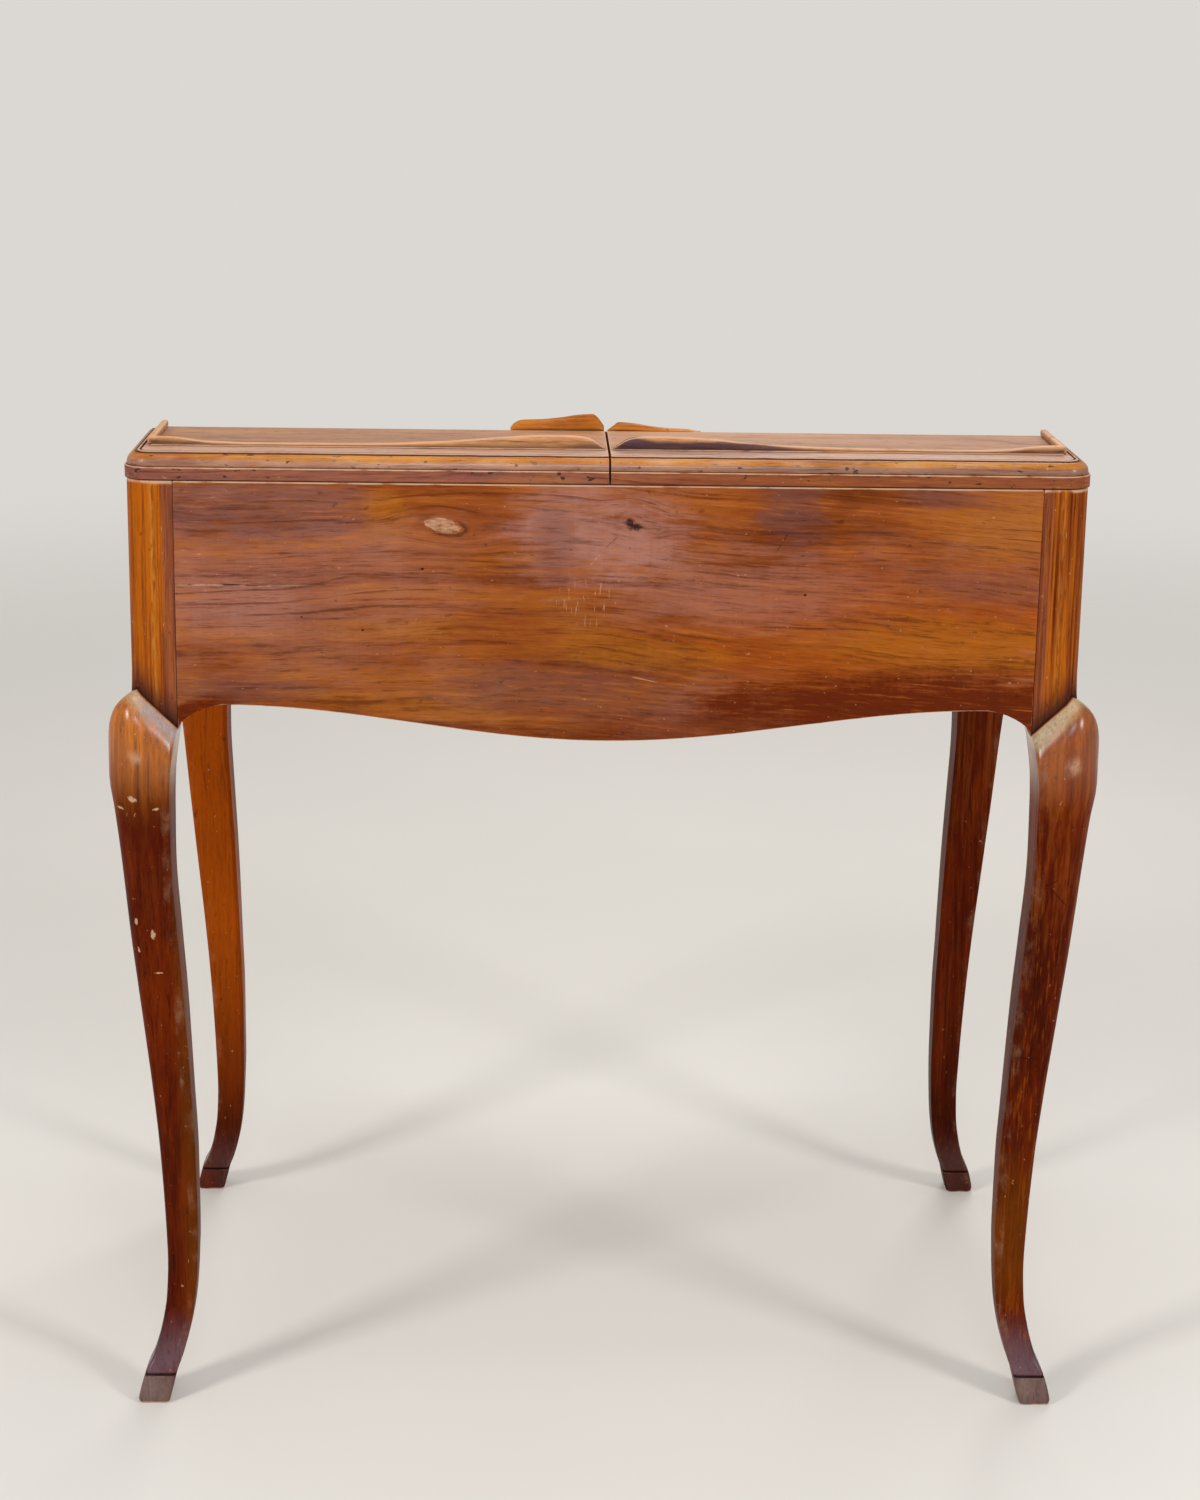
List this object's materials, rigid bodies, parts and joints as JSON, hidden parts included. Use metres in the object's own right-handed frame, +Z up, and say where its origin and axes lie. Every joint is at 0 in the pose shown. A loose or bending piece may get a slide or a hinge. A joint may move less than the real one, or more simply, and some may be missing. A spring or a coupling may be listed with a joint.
{
  "type": "lady's writing desk",
  "caption": "Slant-front walnut writing desk on cabriole legs, with a parted shelf top over pen wells, a hinged leather-lined fall, pull-out lopers and small drawers.",
  "frame": {"origin": "centre of the bounding box at floor level", "axes": "+Z up, +Y towards the sitter (the pictured back faces -Y), +X to the right of someone who looks at the back"},
  "size_m": [0.7606, 0.4786, 0.7835],
  "materials": {
    "walnut_case": "waxed walnut, warm red-brown, semi-gloss",
    "walnut_legs": "waxed walnut, dark brown, semi-gloss",
    "walnut_moulding": "waxed walnut, amber, worn edges",
    "inner_wood": "plain unpolished secondary wood",
    "leather": "worn writing leather",
    "brass": "old brass",
    "iron": "dark iron"
  },
  "bodies": {
    "case": {"leg_back_left": "walnut_legs", "leg_back_right": "walnut_legs", "leg_front_left": "walnut_legs", "leg_front_right": "walnut_legs", "back_panel": "walnut_case", "front_apron": "walnut_case", "side_panel_left": "walnut_case", "side_panel_right": "walnut_case", "dust_board": "inner_wood", "writing_deck": "walnut_case", "runner_left": "walnut_case", "runner_right": "walnut_case", "well_floor": "inner_wood", "well_rail": "walnut_case", "well_divider": "inner_wood", "drawer_divider_left": "walnut_case", "drawer_divider_right": "walnut_case", "case_hinge_leaf_left": "brass", "case_hinge_leaf_right": "brass", "lid_hinge_pin_left": "iron", "lid_hinge_pin_right": "iron", "deck_hinge_leaf_left": "brass", "deck_hinge_leaf_right": "brass", "fall_hinge_pin_left": "iron", "fall_hinge_pin_right": "iron"},
    "lid_left": {"shelf_lid_left": "walnut_moulding", "back_ledge_left": "walnut_moulding", "end_ledge_left": "walnut_moulding", "lid_hinge_leaf_left": "brass"},
    "lid_right": {"shelf_lid_right": "walnut_moulding", "back_ledge_right": "walnut_moulding", "end_ledge_right": "walnut_moulding", "lid_hinge_leaf_right": "brass"},
    "fall": {"fall_board": "walnut_case", "leather_inset": "leather", "fall_hinge_leaf_left": "brass", "fall_hinge_leaf_right": "brass", "fall_pull_left": "walnut_moulding", "fall_pull_right": "walnut_moulding", "lock_plate": "brass"},
    "loper_left": {"loper_left": "walnut_case", "loper_knob_left": "brass"},
    "loper_right": {"loper_right": "walnut_case", "loper_knob_right": "brass"},
    "main_drawer": {"drawer_front": "walnut_case", "drawer_side_left": "inner_wood", "drawer_side_right": "inner_wood", "drawer_back": "inner_wood", "drawer_bottom": "inner_wood", "drawer_knob_left": "brass", "drawer_knob_right": "brass"},
    "small_drawer_left": {"small_drawer_left": "walnut_case", "small_drawer_knob_left": "brass"},
    "small_drawer_middle": {"small_drawer_middle": "walnut_case", "small_drawer_knob_middle": "brass"},
    "small_drawer_right": {"small_drawer_right": "walnut_case", "small_drawer_knob_right": "brass"}
  },
  "joints": [
    {"name": "lid_left_hinge", "type": "hinge", "parent": "case", "child": "lid_left", "pos_m": [-0.3666, -0.1307, 0.7505], "axis": [0, -1, 0], "range_deg": [0, 100]},
    {"name": "lid_right_hinge", "type": "hinge", "parent": "case", "child": "lid_right", "pos_m": [0.3666, -0.1307, 0.7505], "axis": [0, 1, 0], "range_deg": [0, 100]},
    {"name": "fall_hinge", "type": "hinge", "parent": "case", "child": "fall", "pos_m": [0, 0.2216, 0.649], "axis": [-1, 0, 0], "range_deg": [0, 161.3]},
    {"name": "loper_left_slide", "type": "slide", "parent": "case", "child": "loper_left", "axis": [0, 1, 0], "range_m": [0, 0.2]},
    {"name": "loper_right_slide", "type": "slide", "parent": "case", "child": "loper_right", "axis": [0, 1, 0], "range_m": [0, 0.2]},
    {"name": "main_drawer_slide", "type": "slide", "parent": "case", "child": "main_drawer", "axis": [0, 1, 0], "range_m": [0, 0.24]},
    {"name": "small_drawer_left_slide", "type": "slide", "parent": "case", "child": "small_drawer_left", "axis": [0, 1, 0], "range_m": [0, 0.07]},
    {"name": "small_drawer_middle_slide", "type": "slide", "parent": "case", "child": "small_drawer_middle", "axis": [0, 1, 0], "range_m": [0, 0.07]},
    {"name": "small_drawer_right_slide", "type": "slide", "parent": "case", "child": "small_drawer_right", "axis": [0, 1, 0], "range_m": [0, 0.07]}
  ]
}
